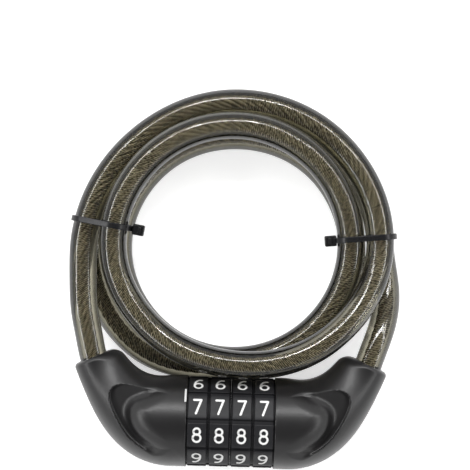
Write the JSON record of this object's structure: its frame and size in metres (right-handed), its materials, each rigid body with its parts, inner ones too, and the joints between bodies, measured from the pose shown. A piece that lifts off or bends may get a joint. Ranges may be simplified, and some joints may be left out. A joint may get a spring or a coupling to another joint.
{
  "type": "combination cable lock",
  "caption": "Combination cable lock: a barrel of number wheels between two moulded elbows that swallow the ends of a long plastic-covered steel cable, wound into a tied bundle",
  "frame": {"origin": "Middle of the lock head's box, on the surface it lies on; the cable and its ties are not counted", "axes": "+X along the number wheels' axis towards the half that pulls off, +Y from the wheels towards the cable bundle, +Z away from the surface, towards a reader of the numbers"},
  "size_m": [0.1466, 0.1658, 0.0398],
  "materials": {
    "housing_plastic": "satin black moulding with a very fine grain",
    "wheel_plastic": "black moulding, smooth number pads",
    "core_steel": "zinc plated",
    "spring_steel": "plain spring steel",
    "white_mark": "white inlay",
    "cable_cover": "glossy smoke-tinted clear vinyl",
    "rope_steel": "bright twisted steel wire",
    "tie_nylon": "black nylon"
  },
  "bodies": {
    "root": {"left_housing": "housing_plastic", "core_sleeve": "core_steel", "core_collar": "core_steel", "detent_spring": "spring_steel", "index_mark": "white_mark", "left_ferrule": "core_steel", "left_roll_pins": "spring_steel", "cable_coil": "cable_cover", "rope_coil": "rope_steel", "left_cable_lead": "cable_cover", "left_rope_lead": "rope_steel", "left_tie": "tie_nylon", "right_tie": "tie_nylon"},
    "dial_1": {"number_wheel_1": "wheel_plastic", "gate_ring_1": "core_steel"},
    "dial_2": {"number_wheel_2": "wheel_plastic", "gate_ring_2": "core_steel"},
    "dial_3": {"number_wheel_3": "wheel_plastic", "gate_ring_3": "core_steel"},
    "dial_4": {"number_wheel_4": "wheel_plastic", "gate_ring_4": "core_steel"},
    "plug": {"right_housing": "housing_plastic", "plug_pin": "core_steel", "right_ferrule": "core_steel", "right_roll_pins": "spring_steel", "right_cable_lead": "cable_cover", "right_rope_lead": "rope_steel"}
  },
  "joints": [
    {"name": "dial_1_turn", "type": "hinge", "parent": "root", "child": "dial_1", "pos_m": [-0.01365, -0.00528, 0.0199], "axis": [1, 0, 0], "continuous": true, "deforming": ["detent_spring"]},
    {"name": "dial_2_turn", "type": "hinge", "parent": "root", "child": "dial_2", "pos_m": [-0.00415, -0.00528, 0.0199], "axis": [1, 0, 0], "continuous": true, "deforming": ["detent_spring"]},
    {"name": "dial_3_turn", "type": "hinge", "parent": "root", "child": "dial_3", "pos_m": [0.00535, -0.00528, 0.0199], "axis": [1, 0, 0], "continuous": true, "deforming": ["detent_spring"]},
    {"name": "dial_4_turn", "type": "hinge", "parent": "root", "child": "dial_4", "pos_m": [0.01485, -0.00528, 0.0199], "axis": [1, 0, 0], "continuous": true, "deforming": ["detent_spring"]},
    {"name": "plug_slide", "type": "slide", "parent": "root", "child": "plug", "axis": [1, 0, 0], "range_m": [0, 0.045], "deforming": ["right_cable_lead", "right_rope_lead"]}
  ]
}
